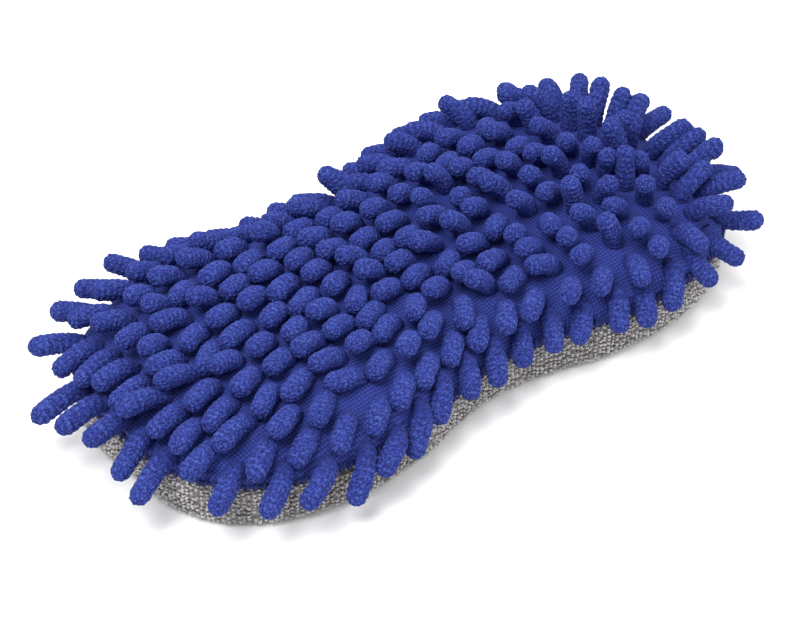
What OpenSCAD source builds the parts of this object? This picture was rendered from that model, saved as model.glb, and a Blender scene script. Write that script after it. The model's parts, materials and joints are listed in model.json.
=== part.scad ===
// Padded car-wash mitt: a domed washing face with rows of chenille noodles, over a foam pad,
// sewn to a terry tray whose underside has an elastic-edged opening for the hand.
// Origin: middle of the flat underside. +X runs along the mitt, away from the hand opening. +Z is up.

/* [Body] */
// Length of the sewn body, without its noodles
body_len = 230; // [180:1:280]
// Width of the body before its ends round off and its waist pulls in, without its noodles
body_w = 120; // [98:1:144]
// How far each long side pulls in at the waist
waist_in = 13; // [4:0.5:16]
// How far the waist's pull reaches along the body, to each side
waist_reach = 42; // [34:1:52]
// How square the ends are, where 2 is an ellipse
squareness = 3.2; // [2.6:0.1:3.6]
// Height of the terry side wall, up to the seam
wall_h = 17.5; // [14.5:0.5:24]
// Rise of the domed face above the seam
dome_h = 17; // [13:0.5:24]
// How far the dome dips at the waist
dome_dip = 2; // [0:0.5:4]
// Rounding where the side wall turns under
wall_round = 4; // [3:0.5:6]

/* [Cloth] */
// Thickness of the blue base cloth
face_t = 2; // [1.5:0.1:2.6]
// Thickness of the terry side wall and underside
back_t = 2.5; // [1.8:0.1:3]
// Thickness of the lining over the hand cavity
lining_t = 1.4; // [1:0.1:2]
// Thickness of the foam at its edge, from the lining up to the seam
foam_edge_t = 3.4; // [2:0.1:5]
// Gap left between sewn neighbours
seam_gap = 0.15; // [0.1:0.05:0.3]

/* [Noodles] */
// Thickness of a chenille noodle
noodle_d = 6.8; // [5.8:0.1:8.4]
// Length of a noodle from base to tip
noodle_len = 18; // [14:0.5:22]
// Room left between noodles along a row
noodle_gap = 2; // [2:0.1:4]
// Distance over the dome from the seam to the first noodles
noodle_edge = 5; // [4.5:0.5:8]
// How strongly the nap leans towards the hand opening, for the room between its rows
nap_lean = 1.1; // [0.5:0.05:1.2]
// How much less the nap leans along the seam
nap_seam_fade = 0.5; // [0.4:0.05:0.8]
// How strongly the nap leans towards one long side
nap_side = 0.4; // [0:0.05:0.5]
// How much the noodles along that side's seam droop
nap_droop = 2; // [0:0.1:2.4]
// How unevenly the noodles point
nap_scatter = 0.08; // [0:0.01:0.1]

/* [Hand opening] */
// Distance from the end of the body to the middle of the opening
mouth_from_end = 50; // [46:1:60]
// Size of the opening along the body, before it is bound
mouth_len = 40; // [34:1:48]
// Underside left between the opening and each long side
mouth_margin = 19; // [18:0.5:26]
// Thickness of the rolled binding
binding_d = 5; // [4.4:0.1:5.5]
// Thickness of the elastic cord in the binding
elastic_d = 2.4; // [1.8:0.1:2.8]

/* [Stitching] */
// Thickness of the sewing thread
thread_d = 0.8; // [0.6:0.1:1]
// Distance between stitches
stitch_pitch = 5; // [4:0.5:8]
// Length of a seam stitch
seam_stitch_len = 4.4; // [3:0.1:4.6]
// Length of a binding stitch
binding_stitch_len = 3; // [2:0.1:3.5]

/* [Hidden] */
noodle_pitch = noodle_d + noodle_gap;
row_count = 20;
function row_name(row) = str("noodle_row_", row < 10 ? "0" : "", row);

outline_steps = 96;
dome_rings = 12;
round_rings = 4;
section_steps = 36;
half_len = body_len / 2;
lining_z = wall_h - foam_edge_t - seam_gap - lining_t;
face_blue = [0.10, 0.13, 0.45];
noodle_blue = [0.13, 0.17, 0.55];
terry_grey = [0.72, 0.71, 0.70];
thread_blue = [0.07, 0.09, 0.32];
thread_grey = [0.55, 0.55, 0.56];
foam_cream = [0.93, 0.90, 0.78];
lining_grey = [0.45, 0.46, 0.50];
binding_black = [0.06, 0.06, 0.07];
elastic_white = [0.90, 0.90, 0.88];

// ---- The outline: a squared ellipse, pulled in at the waist ----

function waist_pull(x) = exp(-pow(x / waist_reach, 2));
function side_at(x, inset) = body_w / 2 - inset - waist_in * waist_pull(x);
// How far out the squared ellipse reaches in one direction, for a half size of 1
function reach(angle) = pow(
    pow(abs(cos(angle)), squareness) + pow(abs(sin(angle)), squareness), -1 / squareness);
// A point of the outline, shrunk towards the middle by share and set in by inset
function outline_point(angle, inset, share) =
    let (x = (half_len - inset) * share * reach(angle) * cos(angle))
    [x, side_at(x, inset) * share * reach(angle) * sin(angle)];
function outline(inset) = [
    for (step = [0 : outline_steps - 1]) outline_point(step * 360 / outline_steps, inset, 1)
];
// One ring of points at a fixed height
function flat_ring(inset, z) = [for (p = outline(inset)) [p.x, p.y, z]];

// ---- The dome over that outline ----

function dome_rise(x, inset) = dome_h - inset - dome_dip * waist_pull(x);
function dome_ring(inset, share) = [
    for (step = [0 : outline_steps - 1])
        let (p = outline_point(step * 360 / outline_steps, inset, share))
        [p.x, p.y, wall_h + dome_rise(p.x, inset) * sqrt(1 - pow(share, squareness))]
];
// Rings from the seam to a small ring at the crown, closer together where the dome is steep
function dome(inset) = [for (ring = [0 : dome_rings]) dome_ring(inset, cos(88 * ring / dome_rings))];
function backwards(list) = [for (i = [len(list) - 1 : -1 : 0]) list[i]];

// A closed solid from rings of points that go round the same way, with a flat end at each
module skin(rings) {
    n = len(rings[0]);
    last = (len(rings) - 1) * n;
    sides = [
        for (ring = [0 : len(rings) - 2], j = [0 : n - 1])
            let (k = (j + 1) % n, low = ring * n, high = low + n)
            [low + j, high + j, high + k, low + k]
    ];
    first_end = [for (j = [0 : n - 1]) j];
    last_end = [for (j = [n - 1 : -1 : 0]) last + j];
    polyhedron(points = [for (ring = rings, p = ring) p], faces = concat([first_end], sides, [last_end]));
}

// ---- The hand opening: a slot with round ends, across the body ----

mouth_middle = [mouth_from_end - half_len, 0];
mouth_straight = body_w - 2 * mouth_margin - mouth_len;
binding_path_r = mouth_len / 2 - seam_gap - binding_d / 2;
binding_z = binding_d / 2 + seam_gap;

module slot_outline(r) {
    square([2 * r, mouth_straight], center = true);
    for (side = [-1, 1])
        translate([0, side * mouth_straight / 2])
            circle(r, $fn = 96);
}

// Sweeps a section round the slot, along the path at the given radius
module round_slot(path_r) {
    for (end = [0, 1])
        rotate(180 * end)
            translate([0, mouth_straight / 2])
                rotate_extrude(angle = 180, $fn = 96)
                    translate([path_r, 0])
                        children();
    for (side = [-1, 1])
        translate([side * path_r, mouth_straight / 2])
            rotate([90, 0, 0])
                linear_extrude(mouth_straight)
                    children();
}

module back_panel() {
    turn_up = [
        for (i = [0 : round_rings])
            let (a = 90 * i / round_rings)
            flat_ring(wall_round * (1 - sin(a)), wall_round * (1 - cos(a)))
    ];
    color(terry_grey)
        difference() {
            skin(concat(
                turn_up,
                [flat_ring(0, wall_h - seam_gap), flat_ring(back_t, wall_h - seam_gap)],
                [flat_ring(back_t, back_t + wall_round / 2), flat_ring(wall_round, back_t)]
            ));
            translate([mouth_middle.x, mouth_middle.y, -back_t])
                linear_extrude(3 * back_t)
                    slot_outline(mouth_len / 2);
        }
}

module lining() {
    color(lining_grey)
        translate([0, 0, lining_z])
            linear_extrude(lining_t)
                polygon(outline(back_t + seam_gap));
}

module foam_core() {
    foam_inset = max(face_t, back_t) + seam_gap;
    color(foam_cream)
        skin(concat([flat_ring(foam_inset, wall_h - foam_edge_t)], dome(foam_inset)));
}

module face_fabric() {
    color(face_blue)
        skin(concat(backwards(dome(face_t)), dome(0)));
}

module opening_binding() {
    color(binding_black)
        translate([mouth_middle.x, mouth_middle.y, binding_z])
            round_slot(binding_path_r)
                difference() {
                    circle(d = binding_d, $fn = 48);
                    circle(d = elastic_d + 2 * seam_gap, $fn = 48);
                }
}

module elastic() {
    color(elastic_white)
        translate([mouth_middle.x, mouth_middle.y, binding_z])
            round_slot(binding_path_r)
                circle(d = elastic_d, $fn = 48);
}

// ---- Stitches ----

// A straight stitch along Z, with its middle at the origin
module stitch(length) {
    cylinder(h = length, d = thread_d, center = true, $fn = 24);
}

module seam_stitching() {
    count = 2 * round((body_len + body_w) * 0.85 / stitch_pitch);
    out = -seam_gap - thread_d / 2;
    tilt = 12;
    color(thread_blue)
        for (i = [0 : count - 1]) {
            angle = 360 * i / count;
            p = outline_point(angle, out, 1);
            ahead = outline_point(angle + 1, out, 1) - p;
            translate([p.x, p.y, wall_h - seam_stitch_len / 4])
                rotate([0, 0, atan2(ahead.y, ahead.x)])
                    rotate([0, i % 2 == 0 ? tilt : -tilt, 0])
                        stitch(seam_stitch_len);
        }
}

module binding_stitching() {
    stitch_path_r = mouth_len / 2 + binding_stitch_len;
    end_count = ceil(180 / (stitch_pitch / stitch_path_r * 180 / PI));
    side_count = floor(mouth_straight / stitch_pitch);
    color(thread_grey)
        translate([mouth_middle.x, mouth_middle.y, back_t + seam_gap + thread_d / 2]) {
            for (end = [0, 1], i = [0 : end_count])
                rotate(180 * end)
                    translate([0, mouth_straight / 2])
                        rotate(180 * i / end_count)
                            translate([stitch_path_r, 0])
                                rotate([0, 90, 0])
                                    stitch(binding_stitch_len);
            for (side = [-1, 1], i = [1 : side_count - 1])
                translate([side * stitch_path_r, mouth_straight * (i / side_count - 0.5)])
                    rotate([0, 90, 0])
                        stitch(binding_stitch_len);
        }
}

// ---- Noodles: rows across the dome, evenly spaced along its surface ----

function power(v, e) = sign(v) * pow(abs(v), e);
// The dome cut by an upright plane: a table of distance along the cut against place across it
function cut_table(half, rise) =
    let (
        across = function (i) half * power(sin(180 * i / section_steps - 90), 2 / squareness),
        up = function (i) rise * cos(180 * i / section_steps - 90)
    )
    [
        for (
            i = 0, s = 0;
            i <= section_steps;
            s = s + norm([across(i + 1) - across(i), up(i + 1) - up(i)]), i = i + 1
        )
            [s, across(i)]
    ];
function cut_length(table) = table[section_steps][0];
// Where a cut's evenly spaced points lie, from seam to seam
function spread(table, count) =
    let (first = noodle_edge, room = cut_length(table) - 2 * noodle_edge)
    [for (i = [0 : count - 1]) lookup(first + room * i / (count - 1), table)];

// How far out a place is: 0 at the crown, 1 at the seam
function out_share(x, y) = pow(abs(x) / half_len, squareness) + pow(abs(y) / side_at(x, 0), squareness);
function dome_z(x, y) = wall_h + dome_rise(x, 0) * sqrt(max(0, 1 - out_share(x, y)));
// A value that is 1 on the dome and grows outwards, whose slope gives the dome's direction
function dome_value(p) = out_share(p.x, p.y) + pow((p.z - wall_h) / dome_rise(p.x, 0), 2);
function dome_normal(p) =
    let (
        d = 0.2,
        slope = [
            dome_value(p + [d, 0, 0]) - dome_value(p - [d, 0, 0]),
            dome_value(p + [0, d, 0]) - dome_value(p - [0, d, 0]),
            dome_value(p + [0, 0, d]) - dome_value(p - [0, 0, d])
        ]
    )
    slope / norm(slope);

long_cut = cut_table(half_len, dome_h);
row_xs = spread(long_cut, row_count);
row_gap = (cut_length(long_cut) - 2 * noodle_edge) / (row_count - 1) - noodle_d;
row_lean = nap_lean * row_gap / noodle_d;

// The lean fades out towards the end away from the hand opening, and towards the seam. In the hollow of
// the waist the noodles stay in line with their row, so that they don't crowd together.
function nap_at(p, scatter) =
    let (
        seam_share = pow(out_share(p.x, p.y), 3),
        fade = min(1, 1 - p.x / half_len) * (1 - nap_seam_fade * seam_share),
        out = dome_normal(p),
        fan = [p.x * out.x > 0 ? out.x : 0, out.y, out.z],
        way = fan
            + fade * [-row_lean, -nap_side, 0]
            + nap_droop * seam_share * (1 - out.y) / 2 * [0, 0, -1]
            + nap_scatter * scatter
    )
    way / norm(way);

module noodle(length) {
    straight = length - noodle_d;
    cylinder(h = straight, d = noodle_d, $fn = 32);
    for (z = [0, straight])
        translate([0, 0, z])
            sphere(d = noodle_d, $fn = 32);
}

// Turns the Z axis to point along way
module point_along(way) {
    rotate([0, acos(way.z), atan2(way.y, way.x)])
        children();
}

module noodle_row(row) {
    x = row_xs[row - 1];
    open = 1 - pow(abs(x) / half_len, squareness);
    table = cut_table(side_at(x, 0) * pow(open, 1 / squareness), dome_rise(x, 0) * sqrt(open));
    count = floor((cut_length(table) - 2 * noodle_edge) / noodle_pitch) + 1;
    ys = spread(table, count);
    random = rands(-1, 1, 3 * count, row);
    color(noodle_blue)
        for (i = [0 : count - 1]) {
            foot = [x, ys[i], dome_z(x, ys[i])];
            scatter = [random[3 * i], random[3 * i + 1], random[3 * i + 2]];
            translate(foot + (noodle_d / 2 + seam_gap) * dome_normal(foot))
                point_along(nap_at(foot, scatter))
                    noodle(noodle_len);
        }
}

back_panel();
lining();
foam_core();
face_fabric();
opening_binding();
elastic();
seam_stitching();
binding_stitching();
for (row = [1 : row_count]) noodle_row(row);
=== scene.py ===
# %% [markdown]
# # A chenille wash mitt
# This lesson builds the looks of a padded car-wash mitt around a fixed frame of simple solids. The frame says
# where each noodle, cloth and stitch is, and every piece made here takes its place and size from it. The
# washing face is over two hundred short chenille noodles on a knitted cloth, over foam. The back is a tray
# of pale grey terry, with an opening underneath for the hand.

# %% Load the frame
import json
import math

import bpy
import numpy as np
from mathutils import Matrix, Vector
from mathutils.bvhtree import BVHTree

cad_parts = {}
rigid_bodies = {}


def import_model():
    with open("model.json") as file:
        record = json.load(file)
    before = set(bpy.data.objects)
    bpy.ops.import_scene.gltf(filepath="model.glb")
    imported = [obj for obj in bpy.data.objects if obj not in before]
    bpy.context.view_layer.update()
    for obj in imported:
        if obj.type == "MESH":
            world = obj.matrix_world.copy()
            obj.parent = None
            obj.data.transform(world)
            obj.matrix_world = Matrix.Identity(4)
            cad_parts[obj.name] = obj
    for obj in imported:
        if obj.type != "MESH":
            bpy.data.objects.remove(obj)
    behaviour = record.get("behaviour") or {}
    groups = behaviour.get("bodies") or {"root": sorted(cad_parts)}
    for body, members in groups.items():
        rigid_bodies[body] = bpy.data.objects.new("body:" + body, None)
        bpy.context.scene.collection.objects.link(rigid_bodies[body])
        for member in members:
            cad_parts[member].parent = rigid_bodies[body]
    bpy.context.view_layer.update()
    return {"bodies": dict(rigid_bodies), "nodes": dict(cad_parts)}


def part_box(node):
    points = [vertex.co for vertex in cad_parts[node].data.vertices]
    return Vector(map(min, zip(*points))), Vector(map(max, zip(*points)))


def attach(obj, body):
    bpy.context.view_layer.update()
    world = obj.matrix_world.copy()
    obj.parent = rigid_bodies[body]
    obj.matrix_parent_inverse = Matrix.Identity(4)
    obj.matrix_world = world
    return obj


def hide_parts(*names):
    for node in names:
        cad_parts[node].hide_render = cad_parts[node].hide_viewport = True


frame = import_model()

MM = 0.001
rng = np.random.default_rng(7)

# %% [markdown]
# ## Camera, floor and light
# A catalogue picture of a soft thing is lit from all round, so that its colour reads and its shadows stay
# soft. One large lamp overhead gives the direction, two weaker ones open up the sides, and a bright sky fills
# the rest. A long lens from a good distance keeps the mitt's outline from bulging.

# %% Camera, floor and lamps
AZIMUTH = math.radians(-40.0)
ELEVATION = math.radians(38.0)
DISTANCE = 0.900
LENS_MM = 125.6
aim = Vector((-13.3, -10.7, 20.0)) * MM


def around(azimuth, elevation, distance):
    """A place round the aim point: azimuth 0 stands on the -Y side, looking along +Y."""
    flat = math.cos(elevation) * distance
    return aim + Vector((math.sin(azimuth) * flat, -math.cos(azimuth) * flat, math.sin(elevation) * distance))


def look_at(thing, target):
    thing.rotation_euler = (target - thing.location).to_track_quat("-Z", "Y").to_euler()


def linked(name, data):
    """A new object, linked to the scene."""
    thing = bpy.data.objects.new(name, data)
    bpy.context.scene.collection.objects.link(thing)
    return thing


camera = linked("camera", bpy.data.cameras.new("camera"))
camera.data.sensor_width = 36
camera.data.lens = LENS_MM
camera.data.clip_start = 0.05
camera.location = around(AZIMUTH, ELEVATION, DISTANCE)
look_at(camera, aim)
bpy.context.scene.camera = camera


def area_lamp(name, azimuth, elevation, distance, size, power):
    lamp = linked(name, bpy.data.lights.new(name, "AREA"))
    lamp.data.shape = "DISK"
    lamp.data.size = size
    lamp.data.energy = power
    lamp.location = around(math.radians(azimuth), math.radians(elevation), distance)
    look_at(lamp, aim)


area_lamp("key_lamp", -75, 62, 1.3, 0.7, 16)
area_lamp("side_lamp", 40, 35, 1.5, 1.0, 7)
area_lamp("back_lamp", 150, 45, 1.5, 0.9, 7)

world = bpy.data.worlds.new("studio")
world.use_nodes = True
sky = world.node_tree.nodes["Background"].inputs
sky["Color"].default_value = (1.0, 1.0, 1.0, 1)
sky["Strength"].default_value = 0.85
bpy.context.scene.world = world
bpy.context.scene.view_settings.view_transform = "Standard"

# %% [markdown]
# ## Helpers for meshes
# Every piece below starts as arrays of points, because cloth and pile follow rules that are easy to say in
# numbers: so many loops to a row, so much swell at the middle. `quad_piece` turns the arrays into a mesh,
# gives it its material and lets it ride on the frame's body. Extra numbers for each point, such as how deep
# it lies in the pile, travel with the mesh as attributes that the material can read.

# %% Mesh helpers
BODY = next(iter(frame["bodies"]))


def quad_piece(name, points, quads, material, slot, replaces=(), marks=None, uv=None):
    """A mesh piece from arrays in metres. marks are {attribute name: one value per point}."""
    points = np.asarray(points, np.float32).reshape(-1, 3)
    mesh = bpy.data.meshes.new(name)
    mesh.vertices.add(len(points))
    mesh.vertices.foreach_set("co", points.ravel())
    mesh.loops.add(quads.size)
    mesh.loops.foreach_set("vertex_index", quads.astype(np.int32).ravel())
    mesh.polygons.add(len(quads))
    mesh.polygons.foreach_set("loop_start", np.arange(0, quads.size, 4, dtype=np.int32))
    mesh.update(calc_edges=True)
    for mark, values in (marks or {}).items():
        values = np.asarray(values, np.float32).ravel()
        mesh.attributes.new(mark, "FLOAT", "POINT").data.foreach_set("value", values)
    if uv is not None:
        corner = np.zeros(len(mesh.loops), np.int32)
        mesh.loops.foreach_get("vertex_index", corner)
        flat = np.asarray(uv, np.float32).reshape(-1, 2)[corner]
        mesh.uv_layers.new(name="cloth").data.foreach_set("uv", flat.ravel())
    mesh.polygons.foreach_set("use_smooth", [True] * len(mesh.polygons))
    mesh.materials.append(material)
    piece = linked(name, mesh)
    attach(piece, BODY)
    if replaces:
        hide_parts(*replaces)
    return piece


def grid_quads(rows, columns):
    """Faces of a grid of points whose last column joins the first."""
    r, c = np.meshgrid(np.arange(rows - 1), np.arange(columns), indexing="ij")
    after = (c + 1) % columns
    here, below = r * columns, (r + 1) * columns
    quads = np.stack([here + c, here + after, below + after, below + c], -1)
    return quads.reshape(-1, 4)


def grid_piece(name, grid, *details, **more):
    """A piece from a grid of points, with the other arguments of quad_piece."""
    return quad_piece(name, grid, grid_quads(*grid.shape[:2]), *details, **more)


def box_of(node):
    """The low and high corners of a frame node."""
    return np.array(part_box(node))


def unit(vectors):
    return vectors / np.maximum(np.linalg.norm(vectors, axis=-1, keepdims=True), 1e-12)


def frame_points(node):
    mesh = frame["nodes"][node].data
    points = np.zeros(len(mesh.vertices) * 3)
    mesh.vertices.foreach_get("co", points)
    return points.reshape(-1, 3)


def frame_tree(node):
    mesh = frame["nodes"][node].data
    return BVHTree.FromPolygons([v.co for v in mesh.vertices], [p.vertices for p in mesh.polygons])


# %% [markdown]
# ## Helpers for materials
# A shader tree written by hand soon hides what it means. This small class adds nodes, links them and sets
# their values in one call each, so that a material reads from top to bottom.

# %% Material helpers


class Tree:
    """Adds and links shader nodes. Values may be numbers, colours or other nodes' sockets."""

    def __init__(self, tree):
        self.tree = tree

    def add(self, kind, out=0, settings=None, **inputs):
        node = self.tree.nodes.new(kind)
        for key, value in (settings or {}).items():
            setattr(node, key, value)
        for key, value in inputs.items():
            self.give(node.inputs[key], value)
        return node.outputs[out]

    def give(self, socket, value):
        if isinstance(value, bpy.types.NodeSocket):
            self.tree.links.new(value, socket)
        else:
            socket.default_value = value

    def math(self, operation, a, b=0.0, clamp=False):
        node = self.tree.nodes.new("ShaderNodeMath")
        node.operation = operation
        node.use_clamp = clamp
        self.give(node.inputs[0], a)
        self.give(node.inputs[1], b)
        return node.outputs[0]

    def mix(self, factor, a, b):
        node = self.tree.nodes.new("ShaderNodeMix")
        node.data_type = "RGBA"
        self.give(node.inputs[0], factor)
        self.give(node.inputs[6], a)
        self.give(node.inputs[7], b)
        return node.outputs[2]

    def place(self):
        """Where a point lies on its object, in metres."""
        return self.add("ShaderNodeTexCoord", out="Object")

    def mark(self, name):
        return self.add("ShaderNodeAttribute", out=2, settings={"attribute_name": name})

    def noise(self, scale, detail, roughness, vector):
        """Soft cloudy noise, from about 0 to 1."""
        return self.add("ShaderNodeTexNoise", Scale=scale, Detail=detail, Roughness=roughness, Vector=vector)

    def voronoi(self, scale, vector):
        """The distance to the nearest of many scattered dots: 0 in the middle of a grain."""
        return self.add("ShaderNodeTexVoronoi", Scale=scale, Vector=vector)


def new_group(name, inputs, outputs):
    """A shader node group with named sockets. inputs and outputs are {name: (socket type, default)}."""
    group = bpy.data.node_groups.new(name, "ShaderNodeTree")
    for where, sockets in (("INPUT", inputs), ("OUTPUT", outputs)):
        for socket, (kind, default) in sockets.items():
            made = group.interface.new_socket(socket, in_out=where, socket_type="NodeSocket" + kind)
            if where == "INPUT":
                made.default_value = default
    given = group.nodes.new("NodeGroupInput").outputs
    result = group.nodes.new("NodeGroupOutput").inputs
    return group, Tree(group), given, result


def new_material(name):
    material = bpy.data.materials.new(name)
    material.use_nodes = True
    tree = Tree(material.node_tree)
    return material, tree, material.node_tree.nodes["Principled BSDF"].inputs


def use_group(tree, group, **inputs):
    node = tree.tree.nodes.new("ShaderNodeGroup")
    node.node_tree = group
    for key, value in inputs.items():
        tree.give(node.inputs[key.replace("_", " ")], value)
    return node.outputs


def dress(tree, surface, tone, relief, strength, depth, **values):
    """Joins a tone and a relief to the Principled BSDF, and sets its plain values."""
    tree.give(surface["Base Color"], tone["Color"])
    bump = tree.add("ShaderNodeBump", Strength=strength, Distance=depth, Height=relief)
    tree.give(surface["Normal"], bump)
    for key, value in values.items():
        surface[key.replace("_", " ")].default_value = value


# %% [markdown]
# ## Effects that several finishes share
# Four effects come back in several cloths and threads here. Yarn is never one even colour, so
# `yarn_tone_and_shade`
# drifts slowly from place to place and adds fine random specks. It also paints light and shade into the
# colour:
# painted shade low in the pile and in the gaps between the grains of fibre, and a painted highlight on the
# tips.
# `fibre_grain` gives the same grains as a height for a Bump node, with a finer fuzz over them. `knit_cells`
# is the waffle of a smooth knit, from the cloth's own flat coordinates. `yarn_strands` is the twist of a
# thread, or a braid where the strands also cross.

# %% Shared node groups
yarn_tone_and_shade, t, given, result = new_group(
    "yarn_tone_and_shade",
    {
        "Deep": ("Color", (0, 0, 0, 1)),
        "Body": ("Color", (0.1, 0.1, 0.1, 1)),
        "Tip": ("Color", (0.2, 0.2, 0.2, 1)),
        "Height": ("Float", 0.5),
        "Grain": ("Float", 1500.0),
        "Speckle": ("Float", 0.3),
        "Drift": ("Float", 0.3),
    },
    {"Color": ("Color", None)},
)
place = t.place()
grain = t.voronoi(given["Grain"], place)
speck = t.noise(2400.0, 2.0, 0.6, place)
slow = t.noise(38.0, 2.0, 0.5, place)
# Painted shade: the colour darkens towards the edge of each Voronoi grain, in the gaps between grains of
# fibre; the fine speck noise is random tone.
specks_and_gap_shade = t.math("ADD", t.math("SUBTRACT", speck, 0.5), t.math("SUBTRACT", 0.42, grain))
lifted = t.math("ADD", given["Height"], t.math("MULTIPLY", given["Speckle"], specks_and_gap_shade))
lifted = t.math("ADD", lifted, t.math("MULTIPLY", given["Drift"], t.math("SUBTRACT", slow, 0.5)))
# Low in the pile the colour goes to the painted shade colour, and high up to the painted highlight colour.
low = t.math("MULTIPLY", lifted, 2.0, clamp=True)
high = t.math("SUBTRACT", t.math("MULTIPLY", lifted, 2.0), 1.0, clamp=True)
t.give(result["Color"], t.mix(high, t.mix(low, given["Deep"], given["Body"]), given["Tip"]))

fibre_grain, t, given, result = new_group(
    "fibre_grain",
    {"Grain": ("Float", 1500.0), "Fuzz": ("Float", 0.4)},
    {"Height": ("Float", None)},
)
place = t.place()
fine = t.noise(4200.0, 3.0, 0.6, place)
grain = t.voronoi(given["Grain"], place)
t.give(result["Height"], t.math("SUBTRACT", t.math("MULTIPLY", fine, given["Fuzz"]), grain))

knit_cells, t, given, result = new_group(
    "knit_cells",
    {"Flat Place": ("Vector", (0, 0, 0)), "Waves": ("Float", 2700.0)},
    {"Height": ("Float", None)},
)
split = t.tree.nodes.new("ShaderNodeSeparateXYZ")
t.give(split.inputs["Vector"], given["Flat Place"])
across = t.math("ABSOLUTE", t.math("SINE", t.math("MULTIPLY", split.outputs["X"], given["Waves"])))
along = t.math("ABSOLUTE", t.math("SINE", t.math("MULTIPLY", split.outputs["Y"], given["Waves"])))
t.give(result["Height"], t.math("MULTIPLY", across, along))

yarn_strands, t, given, result = new_group(
    "yarn_strands",
    {
        "Along": ("Float", 0.0),
        "Around": ("Float", 0.0),
        "Strands": ("Float", 2.0),
        "Crossing": ("Float", 0.0),
    },
    {"Height": ("Float", None)},
)
turn = t.math("MULTIPLY", given["Around"], given["Strands"])
one_way = t.math("ABSOLUTE", t.math("SINE", t.math("ADD", given["Along"], turn)))
other_way = t.math("ABSOLUTE", t.math("SINE", t.math("SUBTRACT", given["Along"], turn)))
t.give(result["Height"], t.math("MAXIMUM", one_way, t.math("MULTIPLY", other_way, given["Crossing"])))
print("shared effects:", [group.name for group in (yarn_tone_and_shade, fibre_grain, knit_cells, yarn_strands)])

# %% [markdown]
# ## Finishes
# Microfibre chenille is a deep cobalt; its almost black gaps are painted shade. It has no gloss, only a soft
# sheen at grazing angles from the fibre ends. The base cloth is the same dye on a smooth knit, so it looks
# darker and flatter.
# Terry is undyed grey loops; the darker ground between them is painted shade. Each material reads the height
# of its own pile from the mesh, and paints shade low down and a highlight high up from it.

# %% Pile materials


def pile_material(name, shade_colour, body, tip, speck_shade, drift, grain, bump):
    """A matt fibrous finish whose colour follows the height in the pile: painted shade low down, a painted
    highlight high up.
    """
    material, t, surface = new_material(name)
    tone = use_group(
        t, yarn_tone_and_shade, Deep=shade_colour, Body=body, Tip=tip, Grain=grain, Speckle=speck_shade, Drift=drift,
        Height=t.mark("pile"),
    )
    relief = use_group(t, fibre_grain, Grain=grain)["Height"]
    dress(
        t, surface, tone, relief, bump, 0.4 * MM, Roughness=0.95, Specular_IOR_Level=0.15, Sheen_Weight=0.12,
        Sheen_Roughness=0.5, Sheen_Tint=tip,
    )
    return material


# Chenille: the first colour is painted shade in the gaps and at the noodles' feet, and the last is a painted
# highlight on the tufts that also tints the sheen.
chenille = pile_material(
    "chenille", shade_colour=(0.013, 0.016, 0.082, 1), body=(0.024, 0.038, 0.222, 1), tip=(0.066, 0.102, 0.340, 1),
    speck_shade=0.42, drift=0.18, grain=1700.0, bump=0.7,
)
# Terry: the first colour is painted shade on the ground and at the loops' feet, and the last is a painted
# highlight on the loop tops.
terry = pile_material(
    "terry", shade_colour=(0.070, 0.064, 0.066, 1), body=(0.33, 0.315, 0.320, 1), tip=(0.54, 0.520, 0.525, 1),
    speck_shade=0.35, drift=0.22, grain=1500.0, bump=0.5,
)

# %% Base cloth
KNIT_PITCH = 1.15 * MM
KNIT_WAVES = math.pi / KNIT_PITCH


def knit_material(name, shade_colour, body, tip, bump):
    """A smooth knit. The cloth's UV map holds its flat coordinates in metres."""
    material, t, surface = new_material(name)
    flat_place = t.add("ShaderNodeUVMap", settings={"uv_map": "cloth"})
    knit = use_group(t, knit_cells, Flat_Place=flat_place, Waves=KNIT_WAVES)["Height"]
    # Painted shade in the hollows of the knit, and a painted highlight on its raised cells.
    tone = use_group(
        t, yarn_tone_and_shade, Deep=shade_colour, Body=body, Tip=tip, Grain=2600.0, Speckle=0.12, Drift=0.25,
        Height=t.math("ADD", t.math("MULTIPLY", knit, 0.65), 0.15),
    )
    dress(
        t, surface, tone, knit, bump, 0.3 * MM, Roughness=0.85, Specular_IOR_Level=0.2, Sheen_Weight=0.2,
        Sheen_Tint=tip,
    )
    return material


# For each cloth the first colour is painted shade, and the last is a painted highlight that also tints the
# sheen.
face_cloth = knit_material(
    "face_cloth", (0.009, 0.013, 0.082, 1), (0.023, 0.037, 0.225, 1), (0.052, 0.082, 0.345, 1), 0.6
)
lining_cloth = knit_material(
    "lining_cloth", (0.06, 0.06, 0.07, 1), (0.17, 0.175, 0.20, 1), (0.30, 0.31, 0.34, 1), 0.4
)

# %% [markdown]
# ## Threads, tape and foam
# A thread is two or three strands twisted together, and a braid is the same idea with the strands crossing.
# Both are stripes that run at a slant to the piece's length, darker in the grooves between strands as painted
# shade and lighter on their ridges as a painted highlight. The thread pieces below carry two numbers for each
# point, how far along and how far round it lies, so that the stripes follow every bend. The foam is open
# cell: a field of small round pores, darker inside as painted shade.

# %% Thread, binding, elastic and foam materials


def stripe_material(name, dark, light, strands, crossing=0.0, roughness=0.6):
    """Twisted yarn, or a braid where crossing is 1 and as many strands run the other way."""
    material, t, surface = new_material(name)
    ridge = use_group(
        t, yarn_strands, Along=t.mark("along"), Around=t.mark("around"), Strands=strands, Crossing=crossing
    )["Height"]
    # dark is painted shade in the grooves between strands, and light is a painted highlight on their ridges.
    halfway = [(a + b) / 2 for a, b in zip(dark, light)]
    tone = use_group(
        t, yarn_tone_and_shade, Deep=dark, Body=halfway, Tip=light, Grain=3000.0, Speckle=0.2, Drift=0.2, Height=ridge
    )
    dress(t, surface, tone, ridge, 0.6, 0.2 * MM, Roughness=roughness, Specular_IOR_Level=0.3)
    return material


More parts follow.
